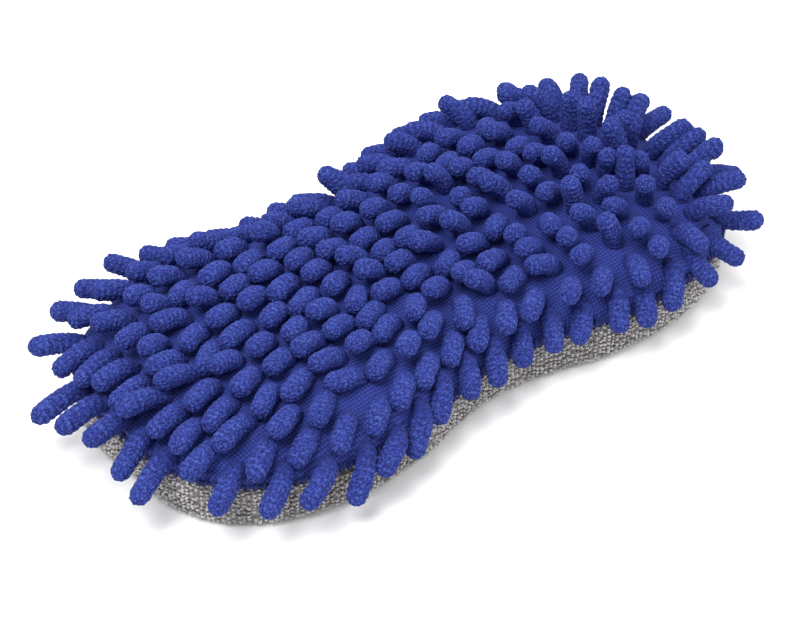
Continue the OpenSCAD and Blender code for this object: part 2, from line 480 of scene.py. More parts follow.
# For each thread, tape and braid, the first colour is painted shade and the second a painted highlight.
seam_thread = stripe_material("seam_thread", (0.004, 0.005, 0.035, 1), (0.025, 0.035, 0.16, 1), 2)
binding_thread = stripe_material("binding_thread", (0.10, 0.10, 0.10, 1), (0.42, 0.42, 0.43, 1), 2)
elastic_braid = stripe_material(
    "elastic_braid", (0.45, 0.44, 0.42, 1), (0.86, 0.85, 0.82, 1), 6, crossing=1.0, roughness=0.7
)
binding_tape = stripe_material(
    "binding_tape", (0.008, 0.008, 0.010, 1), (0.055, 0.055, 0.062, 1), 14, crossing=1.0, roughness=0.8
)

foam_cells, t, surface = new_material("foam_cells")
place = t.place()
pores = t.math("MULTIPLY", t.voronoi(850.0, place), 1.6, clamp=True)
# Painted shade inside each pore, and a painted highlight on the cell walls between them.
tone = use_group(
    t, yarn_tone_and_shade, Deep=(0.30, 0.26, 0.17, 1), Body=(0.74, 0.69, 0.52, 1), Tip=(0.88, 0.84, 0.70, 1),
    Grain=2200.0, Speckle=0.15, Drift=0.2, Height=t.math("SUBTRACT", 1.0, pores),
)
dress(t, surface, tone, t.math("MULTIPLY", pores, -1.0), 0.8, 0.6 * MM, Roughness=0.95)

# %% [markdown]
# ## The body's shape
# The body is a boxed cushion: a domed top, a short side wall and a flat underside. Its outline could be
# traced by hand, but the frame already holds it. So a ray goes out from the middle in each direction to find
# the outline, and rays from above find the dome. Each outline is then laid out again with its points evenly
# spaced, so that a share from 0 to 1 says how far round the edge a place is, for every cloth alike.

# %% Outlines and domes
FAR = 1.0
JUST_INSIDE = 0.9995
CROWN_RING = 0.001
DOWN = np.array([0, 0, -1.0])
tray_low, tray_high = box_of("back_panel")
SEAM_Z = tray_high[2]
trees = {node: frame_tree(node) for node in ("back_panel", "face_fabric", "foam_core", "lining")}
fine_angles = np.linspace(0, 2 * np.pi, 1441)


def outline(node, height):
    """The outline of a node at one height, one point for each fine angle."""
    points = []
    for a in fine_angles:
        way = Vector((math.cos(a), math.sin(a), 0))
        hit = trees[node].ray_cast(way * FAR + Vector((0, 0, height)), -way)[0]
        points.append((hit.x, hit.y))
    return np.array(points)


tray_edge = outline("back_panel", SEAM_Z * 0.6)
edge_travel = np.r_[0, np.cumsum(np.linalg.norm(np.diff(tray_edge, axis=0), axis=1))]
EDGE_LENGTH = edge_travel[-1]


def angle_at(share):
    return np.interp(share % 1.0, edge_travel / EDGE_LENGTH, fine_angles)


def share_at(angle):
    return np.interp(angle % (2 * np.pi), fine_angles, edge_travel / EDGE_LENGTH)


def edge_at(share, edge=tray_edge):
    """Points of an outline, for shares from 0 to 1 of the way round the tray."""
    angle = angle_at(share)
    return np.stack([np.interp(angle, fine_angles, edge[:, k]) for k in (0, 1)], -1)


def outward_at(share):
    """Outward directions of the tray's outline at the same shares."""
    step = 0.002
    ahead = edge_at(share + step) - edge_at(share - step)
    return unit(np.stack([ahead[..., 1], -ahead[..., 0]], -1))


def shares(count):
    return np.arange(count) / count


def heights_over(node, flat, missing):
    """Heights of a node's upper face over flat points."""
    tree = trees[node]
    found = []
    for x, y in flat.reshape(-1, 2):
        hit = tree.ray_cast(Vector((x, y, FAR)), Vector((0, 0, -1)))[0]
        found.append(hit.z if hit else missing)
    return np.array(found).reshape(flat.shape[:-1])


def dome_points(node, edge, ring_shares, round_shares, low):
    """Points of a domed node: ring_shares run from 0 at the crown to 1 at its edge, at height low."""
    rim = edge_at(round_shares, edge) * JUST_INSIDE
    flat = np.sin(ring_shares * np.pi / 2)[:, None, None] * rim
    heights = heights_over(node, flat, low)
    heights[ring_shares >= 1] = low
    return np.concatenate([flat, heights[..., None]], -1)


print("seam height, mm:", round(SEAM_Z / MM, 2), " way round, mm:", round(EDGE_LENGTH / MM, 1))

# %% [markdown]
# ## Letting the pad swell
# Foam inside a sewn cover pushes the cloth out between its seams. A cloth simulation finds that shape: a
# coarse copy of the whole cover is blown up a little, with no weight, while its seam and its underside are
# held. What matters afterwards is only how far each place moved. That is kept as a small table, which the
# fine cloths, the terry wall and the feet of the noodles all read.

# %% Cover simulation
PAD_AROUND = 120
PAD_START = 0.985
PAD_LIMIT = 1.8 * MM
SIM_FRAMES = 20
SMALLEST_RING = 0.04
dome_at = np.linspace(SMALLEST_RING, 1, 23)
wall_at = np.linspace(0, 1, 6)[1:]
under_at = np.linspace(1, SMALLEST_RING, 12)[1:]
PAD_LEVELS = np.r_[dome_at, 1 + wall_at, 2 + (1 - under_at)]


def pad_points():
    """The cover as rings: level 0 is the crown, 1 the seam, 2 the lower edge, 3 the underside's middle."""
    columns = shares(PAD_AROUND)
    dome = dome_points("face_fabric", tray_edge, dome_at, columns, SEAM_Z)
    rim = edge_at(columns)
    wall = [np.c_[rim, np.full(PAD_AROUND, SEAM_Z * (1 - w))] for w in wall_at]
    under = [np.c_[rim * u, np.zeros(PAD_AROUND)] for u in under_at]
    return np.concatenate([dome, wall, under])


def swollen(rings):
    """How far each point of the cover moves when it is blown up, easing off towards PAD_LIMIT."""
    count = len(rings)
    start = rings.reshape(-1, 3) * [PAD_START, PAD_START, 1]
    mesh = bpy.data.meshes.new("cover")
    mesh.from_pydata(start.tolist(), [], grid_quads(count, PAD_AROUND).tolist())
    cover = linked("cover", mesh)
    held = cover.vertex_groups.new(name="held")
    level = np.repeat(PAD_LEVELS, PAD_AROUND)
    fixed = (np.abs(level - 1) < 0.01) | (level >= 2)
    held.add(np.flatnonzero(fixed).tolist(), 1.0, "REPLACE")
    cloth = cover.modifiers.new("cloth", "CLOTH")
    cloth.settings.quality = 8
    cloth.settings.mass = 0.2
    cloth.settings.tension_stiffness = 12
    cloth.settings.compression_stiffness = 12
    cloth.settings.bending_stiffness = 0.5
    cloth.settings.shrink_min = -0.02
    cloth.settings.use_pressure = True
    cloth.settings.uniform_pressure_force = 4
    cloth.settings.vertex_group_mass = "held"
    cloth.settings.effector_weights.gravity = 0
    cloth.collision_settings.use_collision = False
    for frame_number in range(1, SIM_FRAMES + 1):
        bpy.context.scene.frame_set(frame_number)
    shaped = cover.evaluated_get(bpy.context.evaluated_depsgraph_get()).to_mesh()
    end = np.zeros(len(shaped.vertices) * 3)
    shaped.vertices.foreach_get("co", end)
    bpy.data.objects.remove(cover)
    bpy.context.scene.frame_set(1)
    moved = end.reshape(-1, 3) - start
    far = np.linalg.norm(moved, axis=1, keepdims=True)
    moved *= PAD_LIMIT * (1 - np.exp(-far / PAD_LIMIT)) / np.maximum(far, 1e-9)
    return moved.reshape(rings.shape)


pad = pad_points()
swell = swollen(pad)
print("largest swell, mm:", round(float(np.linalg.norm(swell, axis=-1).max()) / MM, 2))


def swell_at(level, share):
    """The cover's movement at any level and share, read between the table's points."""
    level, share = np.broadcast_arrays(level, share)
    row = np.interp(level, PAD_LEVELS, np.arange(len(PAD_LEVELS)))
    low = np.clip(row.astype(int), 0, len(PAD_LEVELS) - 2)
    column = (share % 1.0) * PAD_AROUND
    left = column.astype(int) % PAD_AROUND
    right = (left + 1) % PAD_AROUND
    down = (row - low)[..., None]
    along = (column - np.floor(column))[..., None]
    upper = swell[low, left] * (1 - along) + swell[low, right] * along
    lower = swell[low + 1, left] * (1 - along) + swell[low + 1, right] * along
    return upper * (1 - down) + lower * down


# %% [markdown]
# ## Noodle places
# Each noodle of the frame is a plain rounded cylinder. Its two ends say where the real noodle is sewn in and
# which way it points. Loose parts of a mesh can be told apart by walking from point to point along the edges,
# and the longest direction of each part is the noodle's axis.

# %% Read the noodles
ROWS = sorted(n for n in frame["nodes"] if n.startswith("noodle_row_"))


def loose_parts(node):
    """The point arrays of a node's separate solids."""
    mesh = frame["nodes"][node].data
    keys, same = np.unique(np.round(frame_points(node), 7), axis=0, return_inverse=True)
    label = np.arange(len(keys))
    edges = np.zeros(len(mesh.edges) * 2, np.int64)
    mesh.edges.foreach_get("vertices", edges)
    ends = same.ravel()[edges.reshape(-1, 2)]
    while True:
        lowest = np.minimum(label[ends[:, 0]], label[ends[:, 1]])
        before = label.copy()
        np.minimum.at(label, ends[:, 0], lowest)
        np.minimum.at(label, ends[:, 1], lowest)
        label = label[label]
        if (label == before).all():
            break
    return [keys[label == k] for k in np.unique(label)]


def long_axis(points):
    """(one end, other end, radius) of a long round part."""
    middle = (points.max(0) + points.min(0)) / 2
    for _ in range(3):
        offset = points - middle
        way = np.linalg.svd(offset, full_matrices=False)[2][0]
        along = offset @ way
        middle = middle + way * (along.max() + along.min()) / 2
    radius = np.linalg.norm(offset - np.outer(along, way), axis=1).max()
    return middle - way * (np.ptp(along) / 2), middle + way * (np.ptp(along) / 2), radius


def noodle_axis(points):
    """(foot, tip, radius) of a noodle, its foot being the end nearer to the cloth."""
    one, other, radius = long_axis(points)
    ends = sorted((one, other), key=lambda end: trees["face_fabric"].find_nearest(Vector(end))[3])
    return ends[0], ends[1], radius


found = [(row, *noodle_axis(part)) for row in ROWS for part in loose_parts(row)]
row_of = np.array([ROWS.index(f[0]) for f in found])
feet = np.array([f[1] for f in found])
tips = np.array([f[2] for f in found])
NOODLE_RADIUS = found[len(found) // 2][3]
COUNT = len(feet)
print("noodles:", COUNT, "in", len(ROWS), "rows, radius, mm:", round(NOODLE_RADIUS / MM, 2))

# %% [markdown]
# ## How the noodles lie
# Sewn-in noodles do not stand like brushes. They flop towards the end with the hand opening, lie on one
# another, and droop over the near edge. Each one is treated as a chain of four short links. Every link wants
# its own direction, and noodles push each other apart where they come closer than nine tenths of their
# thickness. Ninety rounds of small corrections settle the pile, with each noodle still as long as it was.

# %% Settle the pile
LINKS = 4
ROUNDS = 90
STIFFNESS = 0.22
SQUASH = 0.90
PUSH_SHARE = 0.35
LIFT_SHARE = 0.7
CLOTH_ROOM = 0.9
FLOOR_CLEARANCE = 1.15
flat_share = np.linalg.norm(feet[:, :2], axis=1) / np.linalg.norm(
    edge_at(share_at(np.arctan2(feet[:, 1], feet[:, 0]))), axis=1
)
foot_share = share_at(np.arctan2(feet[:, 1], feet[:, 0]))
foot_level = np.arcsin(np.clip(flat_share, 0, 1)) * 2 / np.pi
feet_moved = swell_at(foot_level, foot_share)
axis_way = unit(tips - feet)


def on_cloth(points):
    """The nearest places on the washing face, and its outward directions there."""
    near, out = [], []
    for p in points.reshape(-1, 3):
        location, normal, _, _ = trees["face_fabric"].find_nearest(Vector(p))
        near.append(location)
        out.append(normal)
    return np.array(near).reshape(points.shape), np.array(out).reshape(points.shape)


roots, root_out = on_cloth(feet)
root_out = np.where((root_out * axis_way).sum(-1, keepdims=True) < 0, -root_out, root_out)
half_length = tray_high[0]
FLOP = np.array([-1.25, -0.42, -0.55])
NEAR_DROOP = np.array([-0.10, -0.35, -3.0])
NEAR_LEFT_DROOP = np.array([-1.7, -0.40, -2.2])
FAR_EDGE = np.array([-0.25, 1.3, 0.05])
FAR_FLOP = np.array([-0.9, 0.2, -1.2])
SEAM_SLIDE = 5.0 * MM
SCATTER, ODD_SCATTER, ODD_SHARE = 0.28, 0.45, 0.15
SHORTEST, LONGEST = 0.93, 1.07
END_STRETCH, NEAR_STRETCH = 0.26, 0.06
END_FAN, LEFT_FAN, NEAR_SHARE = 0.75, 0.9, 0.4
END_LIFT = np.array([0, 0, 0.15])
along_share = feet[:, 0] / half_length
half_width = tray_high[1]
across_share = feet[:, 1] / half_width
far_left = np.clip(across_share * 1.4, 0, 1) * np.clip(0.2 - along_share * 2, 0, 1)
flop_share = np.clip(0.72 - along_share / 1.5, 0, 1) * (1 - 0.45 * far_left)
at_seam = np.clip(flat_share, 0, 1) ** 6
near_facing = np.clip(0.3 - root_out[:, 1] * 1.2, 0, 1) * np.clip((along_share + 1.0) / 0.35, 0, 1)
near_side = at_seam * near_facing
near_left = np.clip(flat_share, 0, 1) ** 3 * near_facing * np.clip((-along_share - 0.25) / 0.2, 0, 1)
outwards = unit(np.c_[feet[:, :2], np.zeros(COUNT)])
far_side = np.clip(flat_share, 0, 1) ** 2 * np.clip(across_share * 1.4, 0, 1)
far_side *= np.clip(2.0 - np.abs(along_share - 0.58) / 0.2, 0, 1)
far_end = np.clip((along_share - 0.62) / 0.3, 0, 1) * np.clip((outwards[:, 0] - 0.60) / 0.2, 0, 1)
far_edge = at_seam * np.clip(outwards[:, 1] * 1.6, 0, 1) * np.clip((0.5 - along_share) / 0.2, 0, 1)
left_end = at_seam * np.clip((-along_share - 0.70) / 0.2, 0, 1) * np.clip(outwards[:, 1] * 3 + 1.2, 0, 1)
odd = rng.random((COUNT, 1)) < ODD_SHARE
scatter = rng.normal(0, SCATTER, (COUNT, 3)) + odd * rng.normal(0, ODD_SCATTER, (COUNT, 3))
lengths = np.linalg.norm(tips - feet, axis=1) * rng.uniform(SHORTEST, LONGEST, COUNT) - NOODLE_RADIUS
at_ends = np.clip(np.abs(along_share) - 0.70, 0, 0.25)
lengths *= 1 + END_STRETCH * at_ends / 0.25 + NEAR_STRETCH * near_left
aims = np.stack([
    unit(
        axis_way * (0.6 + 0.4 * min(1, link))
        + root_out * 0.5 * (link == 0)
        + FLOP * flop_share[:, None] * link / (LINKS - 1)
        + (
            FAR_FLOP * far_side[:, None]
            + (END_FAN * outwards + END_LIFT) * far_end[:, None]
        ) * link / (LINKS - 1)
        + (
            NEAR_SHARE * NEAR_DROOP * np.maximum(near_side - near_left, 0)[:, None]
            + NEAR_LEFT_DROOP * near_left[:, None]
        ) * (link + 0.5) / LINKS
        + (FAR_EDGE * far_edge[:, None] + LEFT_FAN * outwards * left_end[:, None]) * link / (LINKS - 1)
        + scatter * (0.4 + 0.6 * link / (LINKS - 1))
    )
    for link in range(LINKS)
], 1)


def settled(start, wanted, length):
    """Chains of links that follow their wanted directions but keep clear of each other and of the cloth."""
    step = (length / LINKS)[:, None]
    nodes = np.concatenate([start[:, None], start[:, None] + np.cumsum(wanted * step[:, None], 1)], 1)
    owner = np.repeat(np.arange(len(start)), LINKS)
    apart = owner[:, None] != owner[None]
    for turn in range(ROUNDS):
        for k in range(1, LINKS + 1):
            target = nodes[:, k - 1] + wanted[:, k - 1] * step
            nodes[:, k] += (target - nodes[:, k]) * STIFFNESS
        free = nodes[:, 1:].reshape(-1, 3)
        gap = free[:, None] - free[None]
        distance = np.maximum(np.linalg.norm(gap, axis=-1), 1e-6)
        overlap = np.clip(2 * NOODLE_RADIUS * SQUASH - distance, 0, None) * apart
        push = (gap * (overlap / distance)[..., None]).sum(1) * PUSH_SHARE
        nodes[:, 1:] += push.reshape(-1, LINKS, 3)
        if turn % 3 == 0:
            near, out = on_cloth(nodes[:, 1:])
            up = np.where(out[..., 2:] < -0.2, -out, out)
            height = ((nodes[:, 1:] - near) * up).sum(-1, keepdims=True)
            short = np.clip(NOODLE_RADIUS * CLOTH_ROOM - height, 0, NOODLE_RADIUS)
            nodes[:, 1:] += up * short * LIFT_SHARE
        for k in range(1, LINKS + 1):
            nodes[:, k] = nodes[:, k - 1] + unit(nodes[:, k] - nodes[:, k - 1]) * step
        nodes[..., 2] = np.maximum(nodes[..., 2], NOODLE_RADIUS * FLOOR_CLEARANCE)
    return nodes


downhill = unit(DOWN - (root_out @ DOWN)[:, None] * root_out)
roots = roots + downhill * SEAM_SLIDE * np.maximum(near_left, 0.7 * far_edge)[:, None]
chains = settled(roots + feet_moved, aims, lengths)
print("lowest tip, mm:", round(float(chains[..., 2].min()) / MM, 1))

# %% [markdown]
# ## Chenille noodles
# A chenille noodle is a core thread with short loops of microfibre bound all round it, so its skin is a mass
# of little tufts that lie in faint rings. Modelling each fibre would be far too heavy, and a bump map alone
# leaves the outline smooth. The middle way is to raise real tufts on a fine tube. Each tuft is a small dome
# at a jittered place on the unrolled skin. A few such skins are made once, and each noodle turns and bends
# one. The pile gives way where noodles press on each other, so a skin is a little slimmer than the frame's
# noodle.

# %% One noodle's skin
AROUND = 70
ALONG = 64
TUFT_ALONG = 0.82 * MM
TUFT_ROUND = 0.94 * MM
TUFT_RAISE = 0.42 * MM
TUFT_SPREAD = 0.62
TUFT_JITTER = 0.30
BAND_PITCH, BAND_RAISE = 1.9 * MM, 0.05 * MM
SKINS = 8
SINK = 1.8 * MM
SLIM = 0.94


def noodle_skin(length, radius, seed):
    """A straight noodle from the origin along +Z, its end cap centred at length: points on (along, around),
    and how high each lies in the pile, lowered towards the foot as painted shade."""
    draw = np.random.default_rng(seed)
    core = radius - TUFT_RAISE * 0.30
    cap = 0.5 * np.pi * core
    travel = np.linspace(0, length + cap, ALONG)
    on_cap = np.clip((travel - length) / cap, 0, 1) * np.pi / 2
    z = np.where(travel < length, travel, length + core * np.sin(on_cap))
    waist = 1 - 0.22 * np.exp(-((travel / (2.2 * MM)) ** 2))
    swelling = 1 + 0.035 * np.sin(travel / radius * 1.5 + draw.uniform(0, 6))
    ring = core * np.cos(on_cap) * waist * swelling
    phi = np.linspace(0, 2 * np.pi, AROUND, endpoint=False)
    girth = np.maximum(ring, 0.25 * core)[:, None]
    height = np.zeros((ALONG, AROUND))
    for row in range(int((length + cap) / TUFT_ALONG) + 1):
        middle = (row + 0.5) * TUFT_ALONG
        reach = np.interp(middle, travel, ring)
        count = max(3, int(2 * np.pi * reach / TUFT_ROUND))
        for k in range(count):
            spot = middle + draw.uniform(-TUFT_JITTER, TUFT_JITTER) * TUFT_ALONG
            spot_phi = 2 * np.pi * (k + 0.5 * (row % 2) + draw.uniform(-TUFT_JITTER, TUFT_JITTER)) / count
            size = draw.uniform(0.70, 1.10)
            turn = (phi - spot_phi + np.pi) % (2 * np.pi) - np.pi
            across = turn[None, :] * girth / (TUFT_SPREAD * TUFT_ROUND * size)
            along = (travel[:, None] - spot) / (TUFT_SPREAD * TUFT_ALONG * size)
            bump = np.sqrt(np.clip(1 - across**2 - along**2, 0, 1)) * draw.uniform(0.6, 1.0)
            height = np.maximum(height, bump)
    bands = np.sin(travel[:, None] * 2 * np.pi / BAND_PITCH + phi[None] + draw.uniform(0, 6))
    height = np.clip(height + 0.13 * bands, 0, 1.1)
    out = ring[:, None] + (height * TUFT_RAISE + bands * BAND_RAISE) * np.cos(on_cap * 0.6)[:, None]
    z = z[:, None] + height * TUFT_RAISE * np.sin(on_cap)[:, None]
    points = np.stack([out * np.cos(phi), out * np.sin(phi), z], -1)
    points[-1] = points[-1].mean(axis=0)
    # Painted shade: the pile value falls towards the noodle's foot, so its root is coloured darker.
    shade = np.clip(0.35 + travel / (0.75 * length), 0.35, 1.15)[:, None]
    return points, (0.10 + 0.70 * height) * shade


# %% Every noodle


def laid_along(skin, start, first, last, end, length, spin):
    """Bends a straight skin along a smooth curve with the given ends and end directions."""
    t = np.clip(skin[..., 2] / length, 0, 1)[..., None]
    spare = skin[..., 2:] - np.clip(skin[..., 2:], 0, length)
    a, b = start + first * length / 3, end - last * length / 3
    middle = (1 - t) ** 3 * start + 3 * (1 - t) ** 2 * t * a + 3 * (1 - t) * t**2 * b + t**3 * end
    ahead = unit((1 - t) ** 2 * (a - start) + 2 * (1 - t) * t * (b - a) + t**2 * (end - b))
    side = unit(np.cross(ahead, [0.3, 0.8, 0.52]))
    other = np.cross(ahead, side)
    c, s = math.cos(spin), math.sin(spin)
    x = skin[..., :1] * c - skin[..., 1:2] * s
    y = skin[..., :1] * s + skin[..., 1:2] * c
    return middle + ahead * spare + side * x + other * y


skin_length = float(lengths.mean())
skins = [noodle_skin(skin_length, NOODLE_RADIUS * SLIM, 20 + k) for k in range(SKINS)]
skin_quads = grid_quads(ALONG, AROUND)
for index, row in enumerate(ROWS):
    points, marks, faces = [], [], []
    for k in np.flatnonzero(row_of == index):
        chain = chains[k]
        skin, height = skins[rng.integers(SKINS)]
        stretch = [1, 1, lengths[k] / skin_length]
        first = unit(0.75 * unit(chain[1] - chain[0]) + 0.25 * unit(root_out[k]))
        last = unit(chain[-1] - chain[-2])
        placed = laid_along(
            skin * stretch - [0, 0, SINK], chain[0], first, last, chain[-1], lengths[k], rng.uniform(0, 6.28)
        )
        faces.append(skin_quads + len(points) * AROUND * ALONG)
        points.append(placed.reshape(-1, 3))
        marks.append(height.ravel())
    quad_piece(
        row.replace("row", "pile"), np.concatenate(points), np.concatenate(faces), chenille, "chenille",
        replaces=(row,), marks={"pile": np.concatenate(marks)},
    )
print("faces for each noodle:", len(skin_quads))

# %% [markdown]
# ## The washing cloth
# The knit that carries the noodles is stretched over the foam and pulled up a little into each noodle's foot.
# Those small tents are what tells the eye that the noodles are sewn in and not stuck on. Between the seam's
# stitches the cloth puckers, and its raw edge is turned under.

# %% Washing cloth
FACE_AROUND, FACE_RINGS = 480, 92
TENT_RAISE, TENT_REACH = 1.9 * MM, 4.3 * MM
PUCKER, PUCKER_PITCH = 0.35 * MM, 5.0 * MM
level = np.linspace(CROWN_RING, 1, FACE_RINGS)
columns = shares(FACE_AROUND)
cloth = dome_points("face_fabric", tray_edge, level, columns, SEAM_Z)
crown = np.array([0, 0, heights_over("face_fabric", np.zeros((1, 2)), SEAM_Z)[0]])
steps_down = np.diff(cloth, axis=0, prepend=crown[None, None] + 0 * cloth[:1])
travel = np.cumsum(np.linalg.norm(steps_down, axis=-1), axis=0)
flat_coordinates = unit(cloth[..., :2]) * travel[..., None]
cloth = cloth + swell_at(level[:, None], columns[None])
flat_cloth = cloth.reshape(-1, 3)
lift = np.zeros_like(flat_cloth)
for chain, out in zip(chains, root_out):
    near = np.linalg.norm(flat_cloth - chain[0], axis=1)
    close = near < 3 * TENT_REACH
    pull = unit(out + unit(chain[1] - chain[0]))
    lift[close] += np.exp(-((near[close] / TENT_REACH) ** 2))[:, None] * pull * TENT_RAISE
fade = 1 - np.repeat(level, FACE_AROUND)[:, None] ** 14
cloth = (flat_cloth + lift * fade).reshape(cloth.shape)
waves = np.cos(columns * 2 * np.pi * round(EDGE_LENGTH / PUCKER_PITCH))
to_seam = travel[-1] - travel
depth = np.exp(-((to_seam / (3.5 * MM)) ** 2)) * (1 - np.exp(-((to_seam / (1.0 * MM)) ** 2)))
rim_out = np.concatenate([outward_at(columns), np.full((FACE_AROUND, 1), 0.5)], -1)
cloth += (waves * depth)[..., None] * rim_out * PUCKER
hem = []
for inset, drop in ((-0.25, 0.5), (0.3, 0.9), (1.2, 0.8), (2.6, -0.4)):
    rim = edge_at(columns) - outward_at(columns) * inset * MM
    hem.append(np.c_[rim, np.full(FACE_AROUND, SEAM_Z - drop * MM)])
cloth = np.concatenate([cloth, hem])
hem_coordinates = flat_coordinates[-1:] + unit(flat_coordinates[-1:]) * MM * np.arange(1, 5)[:, None, None]
flat_coordinates = np.concatenate([flat_coordinates, hem_coordinates])
face = grid_piece(
    "washing_cloth", cloth, face_cloth, "face_cloth", replaces=("face_fabric",), uv=flat_coordinates
)

# %% [markdown]
# ## Foam and lining
# The foam is cut a little smaller than its cover and follows the same dome. Under it a knit lining closes
# the pad and makes the roof of the hand space. Neither shows from outside, but the mitt is hollow below them,
# and the lining can be seen through the opening.

# %% Foam
FOAM_AROUND = 240
DENT = 0.10 * MM
foam_z = box_of("foam_core")[0][2]
foam_edge = outline("foam_core", foam_z + 0.3 * MM)
columns = shares(FOAM_AROUND)
ring_at = np.linspace(CROWN_RING, 1, 40)
rim_z = SEAM_Z - 0.2 * MM
upper = dome_points("foam_core", foam_edge, ring_at, columns, rim_z)
upper += 0.8 * swell_at(ring_at[:, None], columns[None])
rim = edge_at(columns, foam_edge) * JUST_INSIDE
under = [np.c_[rim * s, np.full(FOAM_AROUND, foam_z)] for s in np.linspace(1, CROWN_RING, 24)]
foam = np.concatenate([upper, under])
dents = rng.normal(0, DENT, foam.shape[:2])
foam[..., 2] += np.where(foam[..., 2] > rim_z, dents, 0)
pad_piece = grid_piece("foam_pad", foam, foam_cells, "foam", replaces=("foam_core",))

# %% Lining
LINING_T = 0.9 * MM
WAVE = 0.20 * MM
lining_low, lining_high = box_of("lining")
middle_z = (lining_low[2] + lining_high[2]) / 2
lining_edge = outline("lining", middle_z)
rim = edge_at(columns, lining_edge) * 0.998
sheet = []
for side, order in ((1, np.linspace(CROWN_RING, 1, 30)), (-1, np.linspace(1, CROWN_RING, 30))):
    for s in order:
        flat = rim * s
        wave = np.sin(flat[:, 0] / (9 * MM)) * np.sin(flat[:, 1] / (12 * MM) + 1) * WAVE
        sheet.append(np.c_[flat, middle_z + wave + side * LINING_T / 2])
sheet = np.array(sheet)
lining_sheet = grid_piece(
    "lining_sheet", sheet, lining_cloth, "lining", replaces=("lining",), uv=sheet[..., :2]
)

# %% [markdown]
# ## The terry tray
# The side wall and the underside are one sewn tray of terry, knitted with a close ground and loops that
# stand out of it in upright columns. The ground is a thin shell with a slot for the hand. The loops are real
# ones, each a short bent tube, because the ragged edge they give the wall is what makes it read as towel.

# %% Tray ground
binding_low, binding_high = box_of("opening_binding")
mouth = (binding_low + binding_high) / 2
mouth_r = (binding_high[0] - binding_low[0]) / 2
mouth_half = (binding_high[1] - binding_low[1]) / 2 - mouth_r
TRAY_AROUND = 480
LOOP_ROOM = 1.1 * MM
FLOOR_ROOM = 0.80 * MM
BULGE = 0.5 * MM
SHELL = 1.5 * MM
TURN = 3.5 * MM
WALL_TOP = SEAM_Z - 0.3 * MM


def slot_reach(way, grow):
    """How far the slot's edge is from its middle in each flat direction."""
    r = mouth_r + grow
    x, y = np.abs(way[..., 0]) + 1e-9, np.abs(way[..., 1])
    to_side = r / x
    end = y * mouth_half + np.sqrt(np.maximum((y * mouth_half) ** 2 - (mouth_half**2 - r**2), 0))
    return np.where(to_side * y <= mouth_half, to_side, end)


def wall_point(share, height, inset):
    """A point of the wall: height runs from 0, where it turns under, to 1 at the seam."""
    share, height = np.broadcast_arrays(share, height)
    turn = np.clip(1 - height / 0.25, 0, 1) * np.pi / 2
    flat_inset = inset + TURN * (1 - np.cos(turn)) - BULGE * np.sin(np.pi * height)
    lowest = FLOOR_ROOM + TURN * (1 - np.sin(turn))
    straight = FLOOR_ROOM + TURN + (WALL_TOP - FLOOR_ROOM - TURN) * np.clip((height - 0.25) / 0.75, 0, 1)
    z = np.where(height < 0.25, lowest, straight)
    flat = edge_at(share) - outward_at(share) * flat_inset[..., None]
    puffed = swell_at(1 + (1 - height), share) * 0.6
    return np.concatenate([flat, z[..., None]], -1) + puffed * [1, 1, 0]


columns = shares(TRAY_AROUND)
wall_rows = np.linspace(1, 0, 22)
outer = wall_point(columns[None], wall_rows[:, None], LOOP_ROOM)
start = outer[-1]
to_start = start[:, :2] - mouth[:2]
slot_way = unit(to_start)
slot_edge = mouth[:2] + slot_way * slot_reach(slot_way, 0.3 * MM)[:, None]
share_in = np.linspace(0, 1, 26)[1:, None, None]
under_flat = start[None, :, :2] * (1 - share_in) + slot_edge[None] * share_in
under = np.concatenate([under_flat, np.full((*under_flat.shape[:2], 1), FLOOR_ROOM)], -1)
inner_under = under[::-1] + [0, 0, SHELL]
inner_wall = wall_point(columns[None], np.linspace(0.25, 1, 12)[:, None], LOOP_ROOM + SHELL)
tray = np.concatenate([outer, under, inner_under, inner_wall, outer[:1]])
# Painted shade: the ground gets a low pile value, so it is coloured darker, as if shaded by the loops.
ground = np.full(tray.shape[:2], 0.28) + rng.normal(0, 0.06, tray.shape[:2])
terry_shell = grid_piece(
    "terry_tray", tray, terry, "terry", replaces=("back_panel",), marks={"pile": ground}
)

# %% Terry loops


def loops(name, base, out, along, sizes, rings, sides, thickness):
    """Small half-ring loops standing on a surface: base points, outward and sideways directions."""
    total = len(base)
    bend = np.linspace(0, np.pi, rings)
    turn = np.linspace(0, 2 * np.pi, sides, endpoint=False)
    across = np.cross(out, along)
    lean = rng.normal(0, 0.35, (total, 1, 1))
    radial = -np.cos(bend)[None, :, None] * along[:, None] + np.sin(bend)[None, :, None] * out[:, None]
    middle = (
        base[:, None]
        - along[:, None] * np.cos(bend)[None, :, None] * sizes[:, None, None] * 0.42
        + out[:, None] * np.sin(bend)[None, :, None] * sizes[:, None, None]
        + across[:, None] * np.sin(bend)[None, :, None] * sizes[:, None, None] * lean
    )
    fat = thickness * (0.8 + 0.35 * np.sin(bend))[None, :, None, None]
    cos_turn, sin_turn = (wave[None, None, :, None] for wave in (np.cos(turn), np.sin(turn)))
    ring = radial[:, :, None] * cos_turn + across[:, None, None] * sin_turn
    points = middle[:, :, None] + ring * fat
    points[..., 2] = np.maximum(points[..., 2], 0)
    quads = grid_quads(rings, sides)
    faces = (quads[None] + (np.arange(total) * rings * sides)[:, None, None]).reshape(-1, 4)
    # Painted shade at each loop's feet and a painted highlight at its top, through the pile value.
    loop_shading = 0.25 + 0.6 * np.sin(bend)[None] + rng.normal(0, 0.12, (total, 1))
    quad_piece(name, points, faces, terry, "terry", marks={"pile": np.repeat(loop_shading, sides)})


